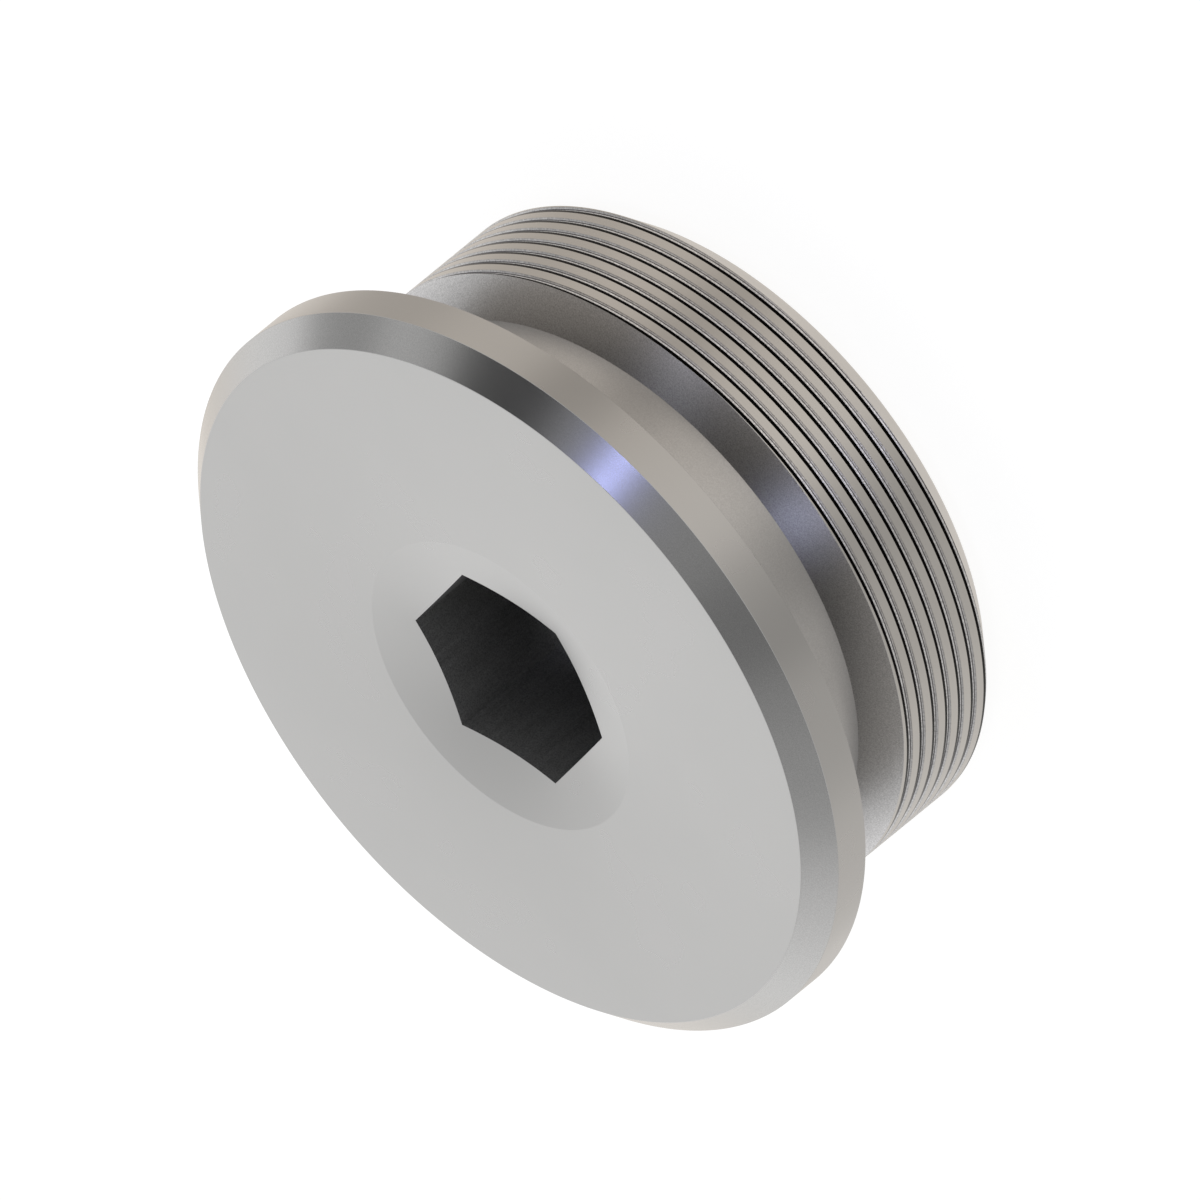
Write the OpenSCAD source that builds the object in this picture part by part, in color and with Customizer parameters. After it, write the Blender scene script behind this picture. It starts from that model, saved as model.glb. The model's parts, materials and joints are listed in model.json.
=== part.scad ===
// Screw plug for a threaded port, turned from one piece of round bar.
// A wide flange closes on the port's face, a plain neck leaves room for a
// seal ring, and a fine right-hand thread holds the plug in the port.
// A key turns it by the hexagon socket in the middle of the head.
// The plug stands on its threaded end with its head up. Z is its axis.

/* [Flange] */
// Outside diameter of the flange
flange_d = 88; // [84:0.5:110]
// Thickness of the flange, from the head face to the sealing face below it
flange_t = 7; // [5:0.25:14]
// Bevel round the head face, at 45 degrees
flange_bevel = 2.75; // [0.5:0.25:4]

/* [Neck] */
// Diameter of the plain neck under the flange
neck_d = 66.3; // [56:0.1:72]
// Length of the neck, from the flange to the start of the shoulder
neck_l = 11.2; // [6:0.1:20]
// Height of the sloping shoulder that leads from the neck out to the thread
shoulder_l = 2.2; // [0.5:0.1:4]

/* [Thread] */
// Nominal diameter of the thread, over its crests
thread_d = 75; // [73:0.5:80]
// Length of the threaded end, from the shoulder to the end face
thread_l = 15.8; // [10:0.1:30]
// Pitch of the thread
thread_pitch = 2; // [1.5:0.25:3]
// Width of the thread groove at the crests
groove_w = 0.96; // [0.6:0.02:1.2]
// Angle between the two flanks of the groove
groove_angle = 60; // [50:1:70]
// Height from the shoulder's edge down to the groove, on the side of -Y
groove_lead = 0.57; // [0:0.01:1.4]
// Bevel round the end face, at 45 degrees
end_bevel = 2.9; // [1.5:0.1:4]

/* [Drive socket] */
// Width of the hexagon socket across its flats
socket_af = 22.2; // [17:0.1:26]
// Depth of the socket's flats, from the head face
socket_depth = 16; // [10:0.5:20]
// Angle of the cone that the drill leaves below the flats
drill_angle = 120; // [90:1:140]
// Diameter of the shallow dish round the socket, at the head face
dish_d = 35.3; // [32:0.1:42]
// Slope of the dish, measured from the head face
dish_angle = 15; // [5:1:30]

/* [Hidden] */
$fn = 180;

// Cutters stand this far out of the faces that they cut
cut_over = 1;
// The drill is this much slimmer than the flats on each side, and its cone
// starts this far above the end of the flats, so that the two cuts cross
drill_inset = 0.3;
drill_lap = 0.4;
// The thread's groove is cut in short straight steps, this many to a turn
groove_steps = 54;

// Heights of the turned steps above the end face
thread_top = thread_l;
neck_low = thread_top + shoulder_l;
flange_low = neck_low + neck_l;
head_z = flange_low + flange_t;

// Radii of the turned steps
flange_r = flange_d / 2;
neck_r = neck_d / 2;
thread_r = thread_d / 2;

// Section of the bar that cuts the groove. Its mouth lies outside the
// crests and is narrower than the pitch, so that its turns stay apart.
groove_depth = groove_w / 2 / tan(groove_angle / 2);
groove_mouth = (groove_w + thread_pitch) / 2;
root_r = thread_r - groove_depth;
mouth_r = root_r + groove_depth * groove_mouth / groove_w;

// The groove runs out through the bevel of the end face, and at the top
// into the open space round the neck
groove_low = end_bevel - groove_depth - thread_pitch / 4;
groove_high = neck_low + groove_w / 2;
// Height of the helix where it crosses +X
helix_z = thread_top - groove_lead + thread_pitch / 4;

// Socket sizes that follow from the flats
socket_corner_r = socket_af / 2 / cos(30);
socket_floor = head_z - socket_depth;
drill_r = socket_af / 2 - drill_inset;
drill_cone_h = drill_r / tan(drill_angle / 2);
dish_h = dish_d / 2 * tan(dish_angle);

// The outside of the plug, before the thread and the socket are cut
module turned_blank() {
    rotate_extrude()
        polygon([
            [0, 0],
            [thread_r - end_bevel, 0],
            [thread_r, end_bevel],
            [thread_r, thread_top],
            [neck_r, neck_low],
            [neck_r, flange_low],
            [flange_r, flange_low],
            [flange_r, head_z - flange_bevel],
            [flange_r - flange_bevel, head_z],
            [0, head_z]
        ]);
}

// Angle along the helix at which it reaches the height z
function helix_angle(z) = (z - helix_z) * 360 / thread_pitch;

// A point at the radius r beside the helix, dz above it
function by_helix(r, dz, angle) =
    [r * cos(angle), r * sin(angle), helix_z + thread_pitch * angle / 360 + dz];

// A triangular bar wound along the helix, which cuts the thread's groove
module thread_groove() {
    first = helix_angle(groove_low);
    steps = ceil((helix_angle(groove_high) - first) * groove_steps / 360);
    points = [
        for (i = [0 : steps])
            let (angle = first + i * 360 / groove_steps)
                each [
                    by_helix(root_r, 0, angle),
                    by_helix(mouth_r, -groove_mouth / 2, angle),
                    by_helix(mouth_r, groove_mouth / 2, angle)
                ]
    ];
    sides = [
        for (i = [0 : steps - 1], corner = [0 : 2])
            let (a = 3 * i + corner, b = 3 * i + (corner + 1) % 3)
                each [[a, b, b + 3], [a, b + 3, a + 3]]
    ];
    ends = [[0, 2, 1], [3 * steps, 3 * steps + 1, 3 * steps + 2]];
    polyhedron(points = points, faces = concat(sides, ends));
}

// The hexagon socket with its drilled end. Its flats face along X, so two of
// its corners lie on Y.
module key_socket() {
    translate([0, 0, socket_floor])
        rotate([0, 0, 30])
            cylinder(r = socket_corner_r, h = socket_depth + cut_over, $fn = 6);
    translate([0, 0, socket_floor + drill_lap - drill_cone_h])
        cylinder(r1 = 0, r2 = drill_r, h = drill_cone_h);
}

// The shallow dish that leads the key into the socket
module dish() {
    rotate_extrude()
        polygon([
            [0, head_z - dish_h],
            [dish_d / 2, head_z],
            [dish_d / 2, head_z + cut_over],
            [0, head_z + cut_over]
        ]);
}

module plug_body() {
    color("silver")
        difference() {
            turned_blank();
            thread_groove();
            key_socket();
            dish();
        }
}

plug_body();
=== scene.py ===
import json
import math

import bmesh
import bpy
from mathutils import Matrix, Vector


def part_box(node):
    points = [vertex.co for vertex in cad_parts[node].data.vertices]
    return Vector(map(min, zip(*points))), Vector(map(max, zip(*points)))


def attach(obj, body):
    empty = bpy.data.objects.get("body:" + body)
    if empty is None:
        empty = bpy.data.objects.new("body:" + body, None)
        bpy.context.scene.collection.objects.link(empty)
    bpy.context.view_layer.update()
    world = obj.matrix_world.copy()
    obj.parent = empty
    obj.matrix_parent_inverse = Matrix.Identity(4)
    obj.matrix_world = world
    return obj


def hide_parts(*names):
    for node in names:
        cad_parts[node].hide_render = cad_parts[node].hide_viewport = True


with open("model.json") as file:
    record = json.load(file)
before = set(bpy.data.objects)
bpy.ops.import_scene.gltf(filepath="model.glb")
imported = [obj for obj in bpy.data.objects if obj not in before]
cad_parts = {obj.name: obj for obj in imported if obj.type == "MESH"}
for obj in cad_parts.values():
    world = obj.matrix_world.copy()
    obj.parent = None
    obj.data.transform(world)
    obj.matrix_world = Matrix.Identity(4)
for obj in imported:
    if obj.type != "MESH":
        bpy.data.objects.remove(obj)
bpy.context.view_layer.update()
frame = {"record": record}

# Lengths are in millimetres, as on a drawing of the plug, and angles in
# degrees, until the finished mesh is scaled to metres.
MM = 0.001
TURN = 2 * math.pi

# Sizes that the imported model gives
body_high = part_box("plug_body")[1]
mounts = {mount["name"]: mount for mount in frame["record"]["mounts"]}
thread_middle = mounts["thread"]["pos_m"][2] / MM
thread_run = mounts["thread"]["dims"]["length_mm"]
HEAD_Z = body_high.z / MM
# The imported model's facets reach the full radius along X only
FLANGE_R = min(body_high.x, body_high.y) / MM
FLANGE_LOW = mounts["seal_face"]["pos_m"][2] / MM
THREAD_R = mounts["thread"]["dims"]["r_mm"]
THREAD_TOP = thread_middle + thread_run / 2
END_BEVEL = thread_middle - thread_run / 2

# Sizes of the turned steps
NECK_R = 33.15
SHOULDER_H = 2.2
FLANGE_BEVEL = 2.75
DISH_R = 17.65
DISH_ANGLE = 15
# The lathe leaves each outer corner broken by this much
EDGE_BREAK = 0.03

# Sizes of the thread, a right-hand helix with a groove of 60 degrees
PITCH = 2
GROOVE_W = 0.96
GROOVE_ANGLE = 60
GROOVE_LEAD = 0.57
# Width and depth of the narrow step along the upper edge of each turn of the
# groove. The two flanks take the rest of the groove's width.
STEP_W = 0.36
STEP_DEPTH = 0.04

# Sizes of the socket for the key
SOCKET_AF = 22.2
SOCKET_DEPTH = 16
DRILL_ANGLE = 120
# The drill is this much slimmer than the flats on each side, and its cone
# starts this far above the end of the flats
DRILL_INSET = 0.3
DRILL_LAP = 0.4

# Facets round the axis, how far cutters stand out of what they cut, and how
# near two points lie when they are merged
STEPS = 360
CUT_OVER = 1
MERGE = 0.0001
# Faces that meet at more than this angle show an edge between them
EDGE_ANGLE = 20

# Sizes of the patterns in the metal. The real feed of the lathe, about 0.1 mm,
# is drawn coarser, so that it shows.
FEED = 0.25
FEED_DEPTH = 0.0004
HAZE = 12
TURNED_GRAIN = 0.14
TORN_GRAIN = 0.22
BROACHED_GRAIN = 0.16
BROACHED_LINES = 0.35
BROACHED_DEPTH = 0.003
# The broached lines are this many times longer than they are wide
BROACHED_STRETCH = 25
# How much rougher or smoother than its finish a patch of haze is
HAZE_ROUGHNESS = 0.03
# Places of the turned finishes in the plug's list of materials
FACED, BEVELLED, UNDERCUT, SHOULDER, CRESTED = range(5)

NECK_LOW = THREAD_TOP + SHOULDER_H
FLANK_TAN = math.tan(math.radians(GROOVE_ANGLE / 2))
FLANKS_W = GROOVE_W - STEP_W
GROOVE_DEPTH = FLANKS_W / 2 / FLANK_TAN
ROOT_R = THREAD_R - GROOVE_DEPTH
# Height of the middle of the groove, step and all, where it crosses +X
HELIX_Z = THREAD_TOP - GROOVE_LEAD + PITCH / 4


# The camera looks down on the plug from the side of the photograph. It is
# turned about its own line of sight, so that the plug lies aslant, and has no
# perspective, as the photograph has none.
VIEW_AZIMUTH = -2.72
VIEW_ELEVATION = 31.62
VIEW_ROLL = -129.22
IMAGE_SIDE = 1200
MM_PER_PIXEL = 0.103164
# Where the middle of the head face lies in the photograph, in pixels
FACE_X = 500.5
FACE_Y = 685.9
# In metres, like the distance of the lamps
CAMERA_DISTANCE = 0.5


def view_axes():
    """The camera's right, up and back directions."""
    a, e, roll = (math.radians(v) for v in (VIEW_AZIMUTH, VIEW_ELEVATION, VIEW_ROLL))
    back = Vector((math.sin(a) * math.cos(e), -math.cos(a) * math.cos(e), math.sin(e)))
    level = Vector((math.cos(a), math.sin(a), 0))
    upright = back.cross(level)
    right = math.cos(roll) * level + math.sin(roll) * upright
    return right, back.cross(right), back


def place_camera():
    right, up, back = view_axes()
    half = IMAGE_SIDE / 2
    aim = Vector((0, 0, HEAD_Z))
    aim -= right * (FACE_X - half) * MM_PER_PIXEL
    aim -= up * (half - FACE_Y) * MM_PER_PIXEL
    lens = bpy.data.cameras.new("camera")
    lens.type = "ORTHO"
    lens.ortho_scale = IMAGE_SIDE * MM_PER_PIXEL * MM
    camera = bpy.data.objects.new("camera", lens)
    bpy.context.scene.collection.objects.link(camera)
    turn = Matrix((right, up, back)).transposed().to_4x4()
    camera.matrix_world = Matrix.Translation(aim * MM + back * CAMERA_DISTANCE) @ turn
    bpy.context.scene.camera = camera


def linear(hex_colour):
    """A shader's colour from an sRGB hex value."""
    channels = [int(hex_colour[i:i + 2], 16) / 255 for i in (1, 3, 5)]
    return [c / 12.92 if c <= 0.04045 else ((c + 0.055) / 1.055) ** 2.4 for c in channels] + [1]


def add(tree, kind, inputs=None, **settings):
    """Adds a node with its settings, and sets or links its inputs."""
    made = tree.nodes.new(kind)
    for name, value in settings.items():
        setattr(made, name, value)
    for socket, value in (inputs or {}).items():
        if isinstance(value, bpy.types.NodeSocket):
            tree.links.new(value, made.inputs[socket])
        else:
            made.inputs[socket].default_value = value
    return made


def new_tree(name):
    """An empty material and its node tree."""
    material = bpy.data.materials.new(name)
    material.use_nodes = True
    material.node_tree.nodes.clear()
    return material, material.node_tree


def from_axis(tree):
    """The distance from the plug's axis, the height and the place itself, in
    metres."""
    place = add(tree, "ShaderNodeTexCoord").outputs["Object"]
    level = add(tree, "ShaderNodeVectorMath", {0: place, 1: (1, 1, 0)}, operation="MULTIPLY")
    radius = add(tree, "ShaderNodeVectorMath", {0: level.outputs[0]}, operation="LENGTH")
    height = add(tree, "ShaderNodeSeparateXYZ", {0: place})
    return radius.outputs["Value"], height.outputs["Z"], place


def grained(tree, place, size, share, colour):
    """A colour that varies by a share of itself, in grains of one size."""
    grain = add(tree, "ShaderNodeTexNoise", {
        "Vector": place, "Scale": 1 / (size * MM), "Detail": 1, "Roughness": 0.5,
    })
    # Noise keeps within 0.3 and 0.7 nearly everywhere
    spread = add(tree, "ShaderNodeMapRange", {
        "Value": grain.outputs["Fac"], "From Min": 0.3, "From Max": 0.7,
        "To Min": 1 - share, "To Max": 1 + share,
    })
    return add(tree, "ShaderNodeVectorMath", {
        0: colour, "Scale": spread.outputs["Result"],
    }, operation="SCALE").outputs[0]


def turned_steel(name, shades, roughness, grain, corner=(1, 1)):
    """Stainless steel turned with a fine feed: satin grey, with marks that run
    round the axis and are just too fine to count, and a dull grain over them.
    The corner gives the shares of the colour at the neck and at the crests: a share below 1 is
    painted shade, a share above 1 painted light."""
    material, tree = new_tree(name)
    radius, height, place = from_axis(tree)
    across = add(tree, "ShaderNodeCombineXYZ", {"X": radius, "Y": height})
    marks = add(tree, "ShaderNodeTexNoise", {
        "Vector": across.outputs[0], "Scale": 1 / (FEED * MM), "Detail": 2, "Roughness": 0.6,
    })
    feed = add(tree, "ShaderNodeBump", {
        "Height": marks.outputs["Fac"], "Distance": FEED_DEPTH * MM, "Strength": 1,
    })
    # A faint haze from handling, in patches
    haze = add(tree, "ShaderNodeTexNoise", {
        "Vector": place, "Scale": 1 / (HAZE * MM), "Detail": 3, "Roughness": 0.55,
    })
    mottle = add(tree, "ShaderNodeMix", {
        "Factor": 0.5, "A": haze.outputs["Fac"], "B": marks.outputs["Fac"],
    })
    colour = add(tree, "ShaderNodeMix", {
        "Factor": mottle.outputs["Result"], "A": linear(shades[0]), "B": linear(shades[1]),
    }, data_type="RGBA")
    rough = add(tree, "ShaderNodeMapRange", {
        "Value": haze.outputs["Fac"],
        "To Min": roughness - HAZE_ROUGHNESS, "To Max": roughness + HAZE_ROUGHNESS,
    })
    # Painted shade and light by the distance from the axis: darker towards the neck, lighter
    # towards the crests where the corner says so
    corner_shade = add(tree, "ShaderNodeMapRange", {
        "Value": radius, "From Min": NECK_R * MM, "From Max": THREAD_R * MM,
        "To Min": corner[0], "To Max": corner[1],
    })
    shaded_colour = add(tree, "ShaderNodeVectorMath", {
        0: colour.outputs["Result"], "Scale": corner_shade.outputs["Result"],
    }, operation="SCALE")
    steel = add(tree, "ShaderNodeBsdfPrincipled", {
        "Base Color": grained(tree, place, TURNED_GRAIN, grain, shaded_colour.outputs[0]),
        "Metallic": 1, "Roughness": rough.outputs["Result"], "Normal": feed.outputs["Normal"],
    })
    add(tree, "ShaderNodeOutputMaterial", {"Surface": steel.outputs["BSDF"]})
    return material


def shades_by_depth(tree, depth, stops):
    """Shades of the groove from its root, at 0, to the crest, at 1."""
    tone = add(tree, "ShaderNodeValToRGB", {"Fac": depth})
    ramp = tone.color_ramp.elements
    while len(ramp) < len(stops):
        ramp.new(0.5)
    for element, (position, shade) in zip(ramp, stops):
        element.position = position
        element.color = linear(shade)
    return tone.outputs["Color"]


def cut_thread_steel():
    """The same steel in the thread's groove, cut by a pointed tool, which tore it into a fine
    grain. Its shades are painted light and shade: painted shade makes the root and the step above
    it black, a thin painted dark reflection runs along the lower flank, and painted light makes
    the upper flank and a stripe of the lower flank brighter."""
    material, tree = new_tree("cut_thread_steel")
    radius, _, place = from_axis(tree)
    depth = add(tree, "ShaderNodeMapRange", {
        "Value": radius, "From Min": ROOT_R * MM, "From Max": THREAD_R * MM,
    }).outputs["Result"]
    # Painted shade: black on the step's face above each turn of the groove
    painted_step_shade = linear("#060606")
    # Upper flank: painted shade at the root, then painted light
    painted_upper_flank = shades_by_depth(tree, depth, [(0, "#040404"), (0.08, "#080808"), (0.14, "#F2F2F2")])
    # Lower flank: painted shade at the root, a stripe of painted light, a thin painted dark
    # reflection, then the flank's own tone
    painted_lower_flank = shades_by_depth(tree, depth, [
        (0, "#040404"), (0.08, "#080808"), (0.14, "#CFCFD0"), (0.42, "#CACACB"),
        (0.47, "#5A595C"), (0.6, "#5A595C"), (0.67, "#B9B8B8"), (1, "#A6A4A3"),
    ])
    facing = add(tree, "ShaderNodeTexCoord").outputs["Normal"]
    upwards = add(tree, "ShaderNodeSeparateXYZ", {"Vector": facing}).outputs["Z"]
    lower_flank = add(tree, "ShaderNodeMapRange", {
        "Value": upwards, "From Min": 0.3, "From Max": 0.5,
    })
    upper_flank = add(tree, "ShaderNodeMapRange", {
        "Value": upwards, "From Min": -0.3, "From Max": -0.5,
    })
    shade = add(tree, "ShaderNodeMix", {
        "Factor": lower_flank.outputs["Result"], "A": painted_step_shade, "B": painted_lower_flank,
    }, data_type="RGBA")
    shade = add(tree, "ShaderNodeMix", {
        "Factor": upper_flank.outputs["Result"], "A": shade.outputs["Result"], "B": painted_upper_flank,
    }, data_type="RGBA")
    steel = add(tree, "ShaderNodeBsdfPrincipled", {
        "Base Color": grained(tree, place, TORN_GRAIN, 0.22, shade.outputs["Result"]),
        "Metallic": 1, "Roughness": 0.28,
    })
    add(tree, "ShaderNodeOutputMaterial", {"Surface": steel.outputs["BSDF"]})
    return material


def broached_steel():
    """The same steel inside the socket, pushed out by a broach, in shades darker than the turned
    steel's as painted shade: rougher, with drag lines that run along the axis."""
    material, tree = new_tree("broached_steel")
    place = add(tree, "ShaderNodeTexCoord").outputs["Object"]
    drawn = add(tree, "ShaderNodeVectorMath", {
        0: place, 1: (1, 1, 1 / BROACHED_STRETCH),
    }, operation="MULTIPLY")
    lines = add(tree, "ShaderNodeTexNoise", {
        "Vector": drawn.outputs[0], "Scale": 1 / (BROACHED_LINES * MM),
        "Detail": 2, "Roughness": 0.6,
    })
    rough = add(tree, "ShaderNodeMapRange", {
        "Value": lines.outputs["Fac"], "To Min": 0.45, "To Max": 0.6,
    })
    # Darker than the turned steel: painted shade inside the socket
    colour = add(tree, "ShaderNodeMix", {
        "Factor": lines.outputs["Fac"], "A": linear("#8A8A8A"), "B": linear("#A0A0A0"),
    }, data_type="RGBA")
    bump = add(tree, "ShaderNodeBump", {
        "Height": lines.outputs["Fac"], "Distance": BROACHED_DEPTH * MM, "Strength": 1,
    })
    steel = add(tree, "ShaderNodeBsdfPrincipled", {
        "Base Color": grained(tree, place, BROACHED_GRAIN, 0.25, colour.outputs["Result"]),
        "Metallic": 1, "Roughness": rough.outputs["Result"], "Normal": bump.outputs["Normal"],
    })
    add(tree, "ShaderNodeOutputMaterial", {"Surface": steel.outputs["BSDF"]})
    return material


def as_object(name, bm, *materials):
    """Turns a bmesh in millimetres into an object that is still in them."""
    bmesh.ops.recalc_face_normals(bm, faces=bm.faces)
    mesh = bpy.data.meshes.new(name)
    bm.to_mesh(mesh)
    bm.free()
    for material in materials:
        mesh.materials.append(material)
    made = bpy.data.objects.new(name, mesh)
    bpy.context.scene.collection.objects.link(made)
    return made


def half_step():
    """Turns the blank's facets so that cutters never meet them at a corner."""
    return Matrix.Rotation(TURN / STEPS / 2, 3, "Z")


def turned_blank(faced, bevelled, undercut, shoulder, crested):
    """The outside of the plug with its dish, spun from one half outline."""
    dish_h = DISH_R * math.tan(math.radians(DISH_ANGLE))
    on_axis = [(0, 0), (0, HEAD_Z - dish_h)]
    inner = [(NECK_R, NECK_LOW), (NECK_R, FLANGE_LOW)]
    outline = [
        on_axis[0],
        (THREAD_R - END_BEVEL, 0),
        (THREAD_R, END_BEVEL),
        (THREAD_R, THREAD_TOP),
        *inner,
        (FLANGE_R, FLANGE_LOW),
        (FLANGE_R, HEAD_Z - FLANGE_BEVEL),
        (FLANGE_R - FLANGE_BEVEL, HEAD_Z),
        (DISH_R, HEAD_Z),
        on_axis[1],
    ]
    bm = bmesh.new()
    verts = [bm.verts.new((r, 0, z)) for r, z in outline]
    for pair in zip(verts, verts[1:]):
        bm.edges.new(pair)
    outer = [v for v, point in zip(verts, outline) if point not in on_axis + inner]
    bmesh.ops.bevel(
        bm, geom=outer, offset=EDGE_BREAK, offset_type="OFFSET", affect="VERTICES",
        segments=1, profile=0.5, material=-1,
    )
    bmesh.ops.transform(bm, matrix=half_step().to_4x4(), verts=bm.verts)
    bmesh.ops.spin(
        bm, geom=bm.verts[:] + bm.edges[:], cent=(0, 0, 0), axis=(0, 0, 1),
        angle=TURN, steps=STEPS, use_merge=True, use_duplicate=False,
    )
    bmesh.ops.remove_doubles(bm, verts=bm.verts, dist=MERGE)
    # The finish changes where the turning tool was changed
    for face in bm.faces:
        middle = face.calc_center_median()
        radius = middle.xy.length
        face.material_index = FACED
        if middle.z < THREAD_TOP:
            face.material_index = CRESTED
        elif middle.z < NECK_LOW:
            face.material_index = SHOULDER
        elif middle.z < FLANGE_LOW:
            face.material_index = UNDERCUT
        elif FLANGE_R - FLANGE_BEVEL < radius and HEAD_Z - FLANGE_BEVEL < middle.z:
            face.material_index = BEVELLED
    return as_object("plug", bm, faced, bevelled, undercut, shoulder, crested)


def groove_cutter(material):
    """A pointed bar wound along the helix, which cuts the thread's groove with
    the step along its upper edge."""
    # The lower flank goes on outside the crests, where the bar is still
    # narrower than the pitch
    outside = THREAD_R + CUT_OVER / 2
    root_z = -STEP_W / 2
    step_r = THREAD_R - STEP_DEPTH
    section = [
        (ROOT_R, root_z),
        (outside, root_z - (outside - ROOT_R) * FLANK_TAN),
        (outside, GROOVE_W / 2),
        (step_r, GROOVE_W / 2),
        (step_r, root_z + (step_r - ROOT_R) * FLANK_TAN),
    ]
    # The groove runs out through the bevel of the end face, and at the top
    # into the open space round the neck
    low = END_BEVEL - GROOVE_DEPTH - PITCH / 4
    high = NECK_LOW + GROOVE_W / 2
    first = math.floor((low - HELIX_Z) / PITCH * STEPS)
    last = math.ceil((high - HELIX_Z) / PITCH * STEPS)
    start_z = HELIX_Z + PITCH * first / STEPS
    bm = bmesh.new()
    end = bm.faces.new([bm.verts.new((r, 0, start_z + dz)) for r, dz in section])
    start = Matrix.Rotation(TURN * first / STEPS, 3, "Z")
    bmesh.ops.rotate(bm, verts=bm.verts, cent=(0, 0, 0), matrix=start)
    bmesh.ops.spin(
        bm, geom=[end], cent=(0, 0, 0), axis=(0, 0, 1), dvec=(0, 0, PITCH / STEPS),
        angle=TURN * (last - first) / STEPS, steps=last - first, use_duplicate=False,
    )
    return as_object("groove_cutter", bm, material)


def socket_cutter(material):
    """The hexagon that the broach pushes out, two of its corners on Y."""
    bm = bmesh.new()
    tall = SOCKET_DEPTH + CUT_OVER
    corner_r = SOCKET_AF / 2 / math.cos(math.radians(30))
    bmesh.ops.create_cone(
        bm, cap_ends=True, segments=6, radius1=corner_r, radius2=corner_r, depth=tall,
        matrix=Matrix.Translation((0, 0, HEAD_Z + CUT_OVER - tall / 2)),
    )
    return as_object("socket_cutter", bm, material)


def drill_cutter(material):
    """The cone that the drill leaves below the hexagon, which it crosses."""
    bm = bmesh.new()
    drill_r = SOCKET_AF / 2 - DRILL_INSET
    cone_h = drill_r / math.tan(math.radians(DRILL_ANGLE / 2))
    mid_z = HEAD_Z - SOCKET_DEPTH + DRILL_LAP - cone_h / 2
    bmesh.ops.create_cone(
        bm, cap_ends=True, segments=STEPS // 4, radius1=0, radius2=drill_r,
        depth=cone_h, matrix=Matrix.Translation((0, 0, mid_z)),
    )
    return as_object("drill_cutter", bm, material)


def cut(body, cutter):
    """Cuts one shape out of the body, which keeps the cutter's material there."""
    modifier = body.modifiers.new(cutter.name, "BOOLEAN")
    modifier.operation = "DIFFERENCE"
    modifier.solver = "EXACT"
    modifier.material_mode = "TRANSFER"
    modifier.object = cutter
    bpy.context.view_layer.update()
    depsgraph = bpy.context.evaluated_depsgraph_get()
    result = bpy.data.meshes.new_from_object(body.evaluated_get(depsgraph))
    body.modifiers.clear()
    old = body.data
    body.data = result
    bpy.data.meshes.remove(old)
    bpy.data.objects.remove(cutter)


def plug():
    """The whole plug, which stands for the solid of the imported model."""
    # Each turned finish: two shades, its roughness and its share of grain
    faced = turned_steel("faced_steel", ("#ABAAA9", "#A9A9A8"), 0.28, 0.004)
    bevelled = turned_steel("bevelled_steel", ("#AEADAC", "#A6A6A5"), 0.21, 0.06)
    # A little darker than the face: painted shade on the neck under the flange
    undercut = turned_steel("undercut_steel", ("#ABAAA9", "#A3A2A1"), 0.33, 0.07)
    # The shoulder's corner paints shade by the neck and light towards the crests
    shoulder = turned_steel("shoulder_steel", ("#B0AFAF", "#A8A7A7"), 0.3, 0.2, (0.74, 1.2))
    crested = turned_steel("crest_steel", ("#B5B3B0", "#ADABA8"), 0.33, 0.004)
    # Near-black shades: painted shade at the bottom of the socket
    drilled = turned_steel("drilled_steel", ("#3A3A3A", "#303030"), 0.5, 0.1)
    threaded, broached = cut_thread_steel(), broached_steel()
    body = turned_blank(faced, bevelled, undercut, shoulder, crested)
    cut(body, groove_cutter(threaded))
    cut(body, socket_cutter(broached))
    cut(body, drill_cutter(drilled))
    mesh = body.data
    mesh.transform(Matrix.Scale(MM, 4))
    mesh.shade_smooth()
    mesh.set_sharp_from_angle(angle=math.radians(EDGE_ANGLE))
    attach(body, "root")
    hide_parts("plug_body")


# The studio, as seen from the plug. Bearings run round from the side of the
# camera, positive to the camera's left.
SIDE_OF_CAMERA = VIEW_AZIMUTH - 90
# Grey screens that stand round the plug, which it mirrors as soft dark bands:
# the bearing and elevation of each, the angles from its middle to where it is
# full and where it ends, and the share of the light that it leaves. A share
# above 1 is a white card's.
SCREENS = [
    (-75, 45, 6, 18, 0.14),
    (38, 55, 4, 14, 0.65),
    (94, 37, 4, 14, 0.9),
    (-121, 21, 4, 16, 0.5),
    (-161, 28, 3, 13, 0.8),
    (-168, 55, 6, 20, 0.8),
    (180, 0, 4, 18, 0.94),
    (-131, 43, 8, 20, 0.6),
    (131, 43, 8, 20, 0.6),
    (-50, -32, 2, 16, 0.5),
    (-118, -32, 6, 26, 0.78),
    (30, -32, 4, 21, 0.55),
    (62, -32, 10, 32, 0.76),
    (180, -32, 12, 40, 1.07),
    (170, -32, 3, 14, 0.85),
    (0, 12, 18, 42, 2.3),
    (-62, 12, 14, 34, 1.9),
    (62, 12, 14, 34, 1.9),
]

# The lamps stand this far from what they light, in metres
LAMP_DISTANCE = 0.6
SOFT_BOX_SIDE = 0.042
SPOT_RADIUS = 0.004


def direction(bearing, elevation):
    """The direction from the plug to a place in the studio."""
    turn, rise = math.radians(SIDE_OF_CAMERA - bearing), math.radians(elevation)
    level = math.cos(rise)
    return Vector((math.cos(turn) * level, math.sin(turn) * level, math.sin(rise)))


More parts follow.
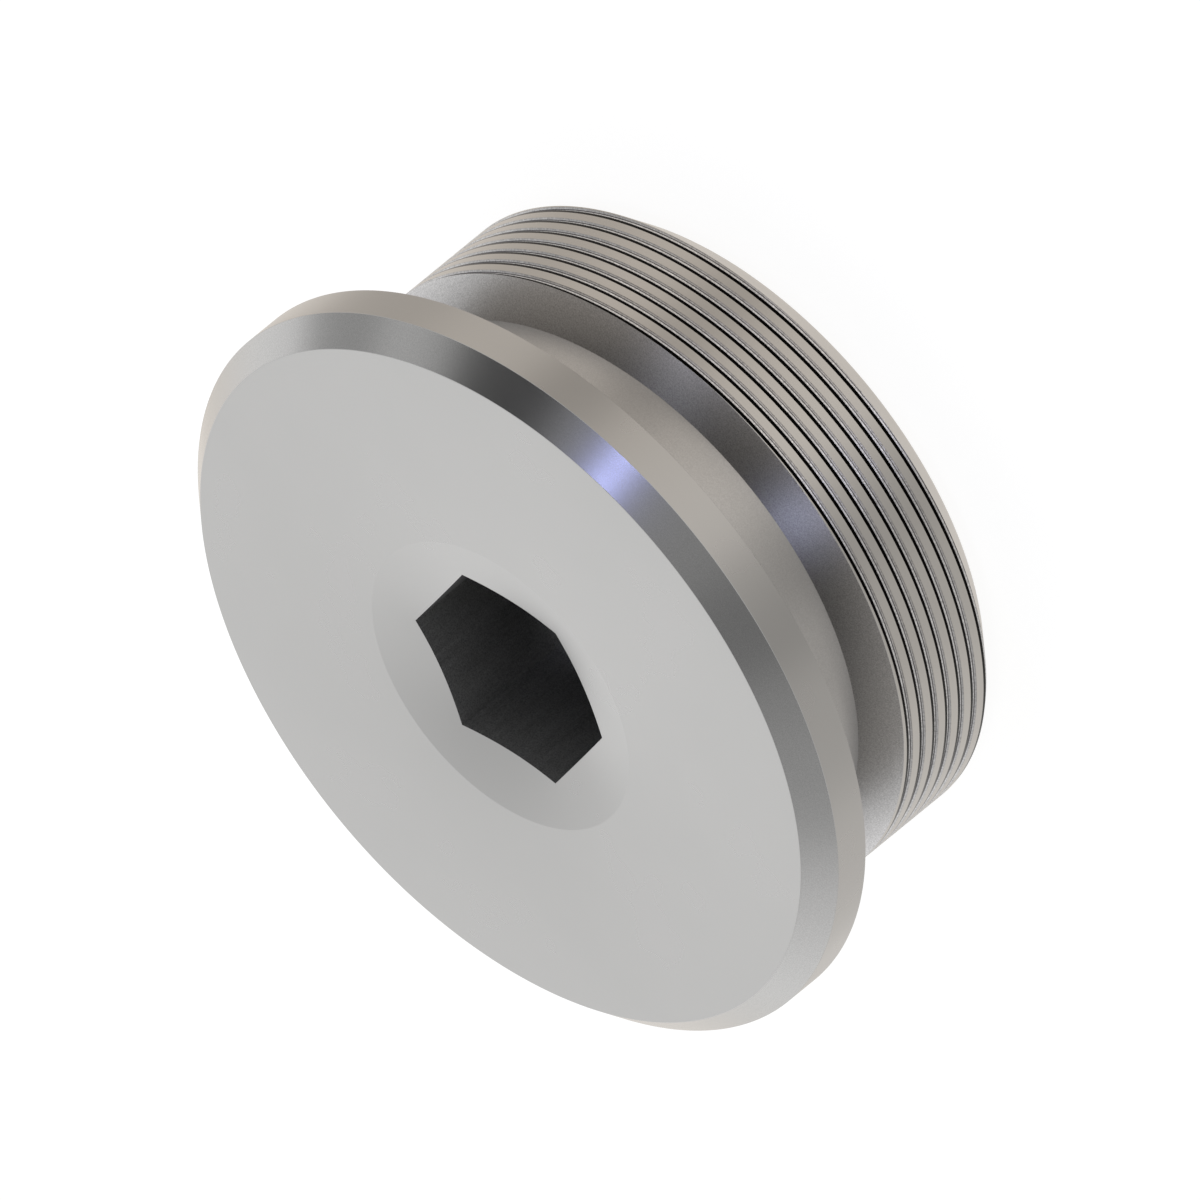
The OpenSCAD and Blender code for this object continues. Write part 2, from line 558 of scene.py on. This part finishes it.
def lamp(name, kind, away, target, energy, colour):
    """A lamp that faces its target from one direction. The camera doesn't see
    it."""
    light = bpy.data.lights.new(name, kind)
    light.energy = energy
    light.color = linear(colour)[:3]
    made = bpy.data.objects.new(name, light)
    turn = away.to_track_quat("Z", "Y").to_matrix().to_4x4()
    made.matrix_world = Matrix.Translation(target * MM + away * LAMP_DISTANCE) @ turn
    bpy.context.scene.collection.objects.link(made)
    made.visible_camera = False
    return light


def soft_box():
    """A small soft box beside the camera, mirrored in the flange's bevel."""
    light = lamp("soft_box", "AREA", direction(-33, 56), Vector((0, 0, HEAD_Z)), 0.105, "#B0B9FF")
    light.size = SOFT_BOX_SIDE


def shoulder_spot(name, bearing, energy, colour, spread):
    """A narrow spot that the camera sees mirrored on the shoulder, at one
    bearing. The flange would keep it off, so it casts no shadow."""
    slope = math.degrees(math.atan2(THREAD_R - NECK_R, SHOULDER_H))
    normal = direction(bearing, slope)
    view = direction(0, VIEW_ELEVATION)
    target = direction(bearing, 0) * NECK_R
    target.z = NECK_LOW
    light = lamp(name, "SPOT", -view.reflect(normal), target, energy, colour)
    light.spot_size = math.radians(spread)
    light.spot_blend = 1
    light.shadow_soft_size = SPOT_RADIUS
    light.use_shadow = False
    light.cycles.use_multiple_importance_sampling = False


def studio_walls():
    """Pale walls all round: bright behind the plug, dimmer on the camera's
    side, warmer below, with the grey screens in front of them."""
    world = bpy.data.worlds.new("studio_walls")
    world.use_nodes = True
    tree = world.node_tree
    tree.nodes.clear()
    bpy.context.scene.world = world
    towards = add(tree, "ShaderNodeTexCoord").outputs["Generated"]

    def facing(way):
        return add(tree, "ShaderNodeVectorMath", {0: towards, 1: way}, operation="DOT_PRODUCT")

    above = add(tree, "ShaderNodeMapRange", {
        "Value": facing(direction(180, 0)).outputs["Value"],
        "From Min": -0.45, "From Max": 0.95, "To Min": 0.43, "To Max": 1.33,
    }, interpolation_type="SMOOTHSTEP")
    height = add(tree, "ShaderNodeMapRange", {
        "Value": facing((0, 0, 1)).outputs["Value"], "From Min": -0.3, "From Max": 0.1,
    }, interpolation_type="SMOOTHSTEP").outputs["Result"]
    level = add(tree, "ShaderNodeMix", {
        "Factor": height, "A": 0.97, "B": above.outputs["Result"],
    }).outputs["Result"]
    for bearing, elevation, inner, outer, share in SCREENS:
        screen = add(tree, "ShaderNodeMapRange", {
            "Value": facing(direction(bearing, elevation)).outputs["Value"],
            "From Min": math.cos(math.radians(outer)), "From Max": math.cos(math.radians(inner)),
            "To Min": 1, "To Max": share,
        }, interpolation_type="SMOOTHSTEP")
        level = add(tree, "ShaderNodeMath", {
            0: level, 1: screen.outputs["Result"],
        }, operation="MULTIPLY").outputs["Value"]
    side = add(tree, "ShaderNodeMapRange", {
        "Value": facing(direction(90, 0)).outputs["Value"], "From Min": -0.6, "From Max": 0.4,
    })
    below = add(tree, "ShaderNodeMix", {
        "Factor": side.outputs["Result"], "A": linear("#FFF6EC"), "B": linear("#FFFBF6"),
    }, data_type="RGBA")
    tint = add(tree, "ShaderNodeMix", {
        "Factor": height, "A": below.outputs["Result"], "B": linear("#FFFFFF"),
    }, data_type="RGBA")
    air = add(tree, "ShaderNodeBackground", {"Color": tint.outputs["Result"], "Strength": level})
    # The camera itself sees plain white past the table
    white = add(tree, "ShaderNodeBackground", {"Color": linear("#FFFFFF"), "Strength": 1})
    seen = add(tree, "ShaderNodeLightPath").outputs["Is Camera Ray"]
    studio = add(tree, "ShaderNodeMixShader", {
        0: seen, 1: air.outputs["Background"], 2: white.outputs["Background"],
    })
    add(tree, "ShaderNodeOutputWorld", {"Surface": studio.outputs["Shader"]})


TABLE_HALF = 4000
TABLE_GAP = 0.01


def table():
    """A matt white table top, lit from below as a light table is, so that the
    shadow round the plug stays faint. The plug doesn't mirror it."""
    bm = bmesh.new()
    # Just below the end face, so that the two don't lie in one plane
    low = Matrix.Translation((0, 0, -TABLE_GAP))
    bmesh.ops.create_grid(bm, x_segments=1, y_segments=1, size=TABLE_HALF, matrix=low)
    material, tree = new_tree("table_white")
    matt = add(tree, "ShaderNodeBsdfDiffuse", {"Color": linear("#929292")})
    glow = add(tree, "ShaderNodeEmission", {"Color": linear("#FFFFFF"), "Strength": 0.85})
    both = add(tree, "ShaderNodeAddShader", {0: matt.outputs[0], 1: glow.outputs[0]})
    add(tree, "ShaderNodeOutputMaterial", {"Surface": both.outputs[0]})
    top = as_object("table", bm, material)
    top.data.transform(Matrix.Scale(MM, 4))
    top.visible_glossy = False
    top.visible_shadow = False


place_camera()
plug()
table()
studio_walls()
soft_box()
shoulder_spot("near_spot", 10, 0.28, "#CAD0F2", 1.5)
shoulder_spot("side_spot", -21, 0.11, "#DCE0F2", 2.4)
bpy.context.scene.view_settings.view_transform = "Standard"
